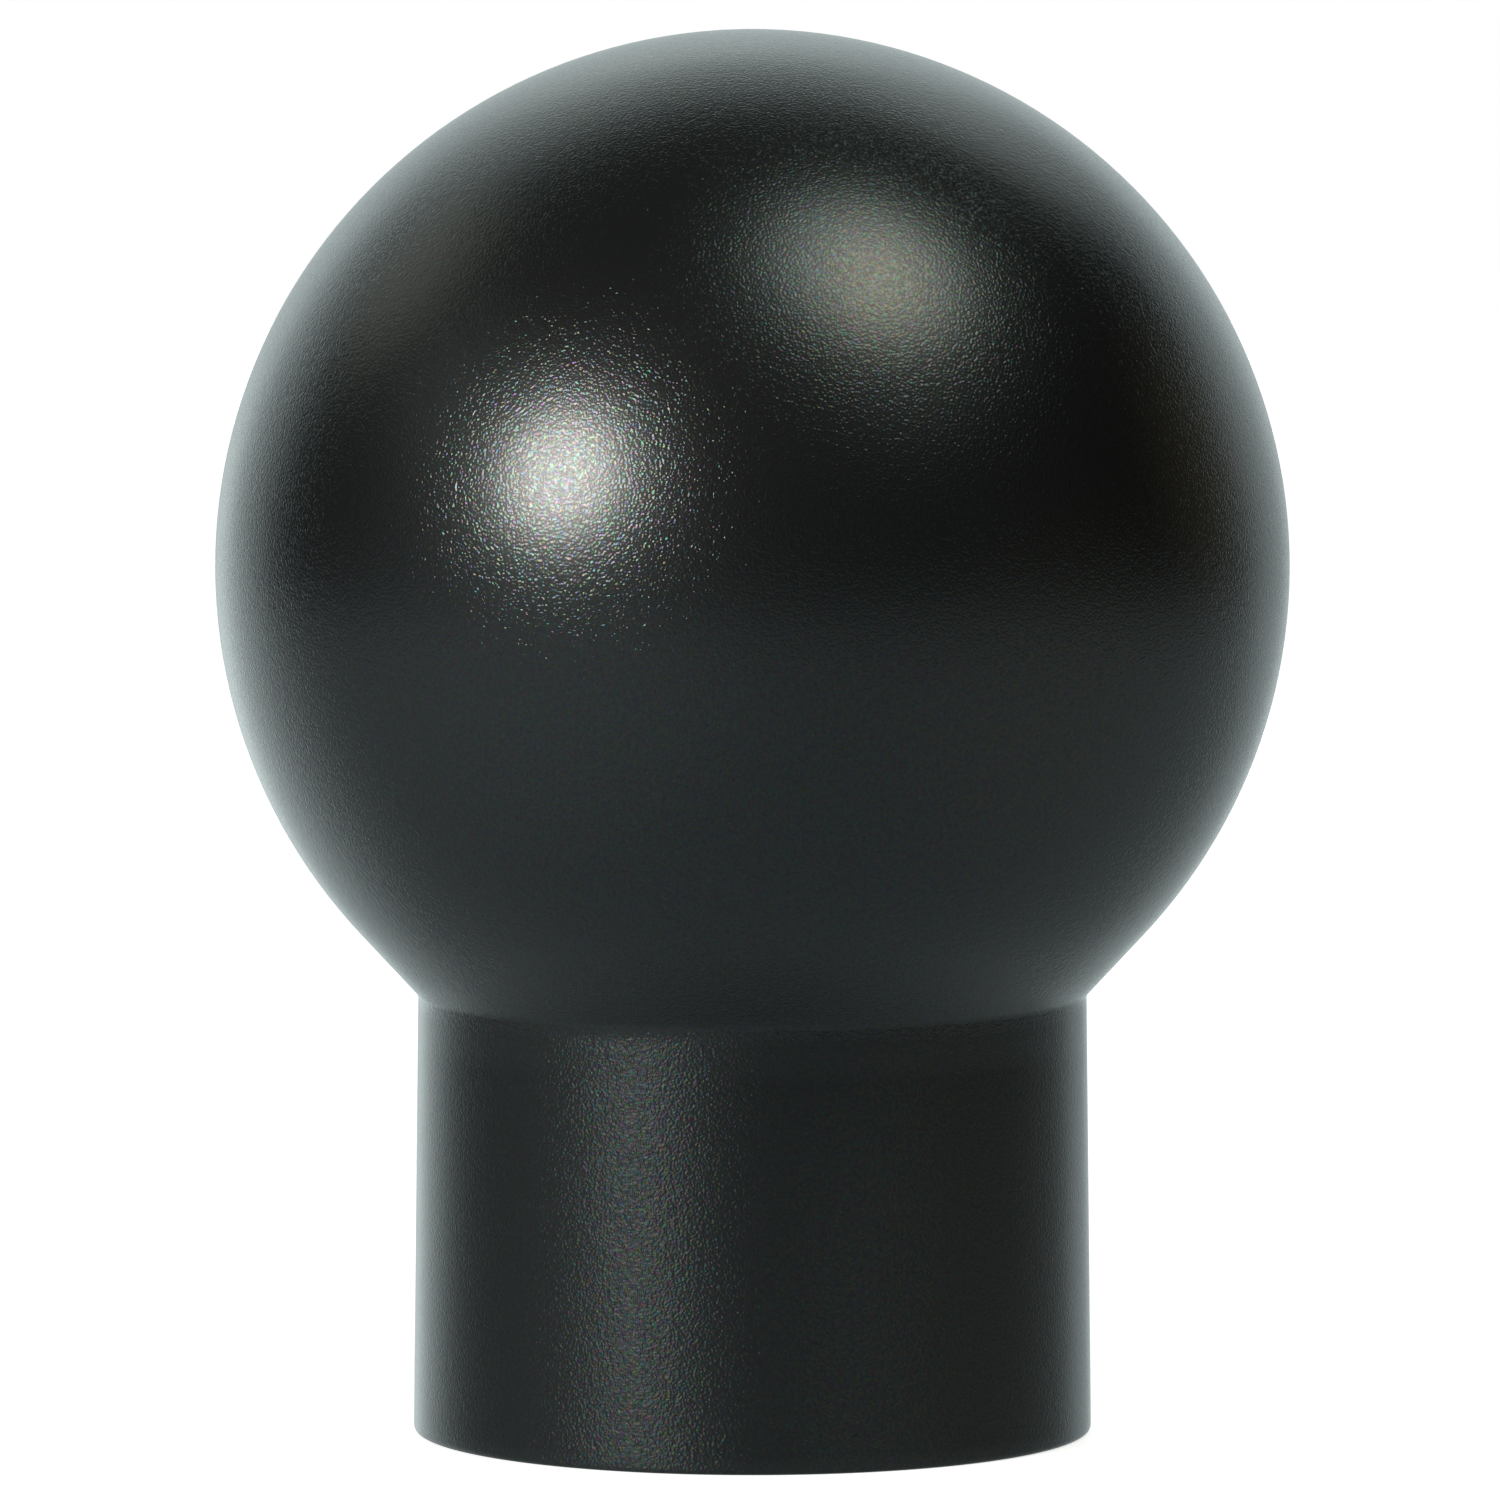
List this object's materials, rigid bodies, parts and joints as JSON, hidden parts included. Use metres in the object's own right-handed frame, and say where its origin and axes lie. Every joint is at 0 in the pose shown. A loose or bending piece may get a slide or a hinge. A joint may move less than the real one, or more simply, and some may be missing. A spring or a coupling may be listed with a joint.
{
  "type": "curtain finial",
  "caption": "Plain round ball on a short open-ended collar, with a satin black coat, that slips over the end of a curtain pole.",
  "frame": {"origin": "centre of the collar's mouth, in the plane of the rim that the finial stands on", "axes": "+Z along the axis of the collar and the ball, from the mouth towards the top of the ball; X and Y lie in the plane of the rim, and the picture's camera is on the -Y side"},
  "size_m": [0.05, 0.05, 0.0654],
  "materials": {
    "black_coat": "satin black powder coat with a fine orange-peel grain, over cast or turned metal"
  },
  "bodies": {
    "root": {"ball_and_collar": "black_coat"}
  },
  "joints": []
}
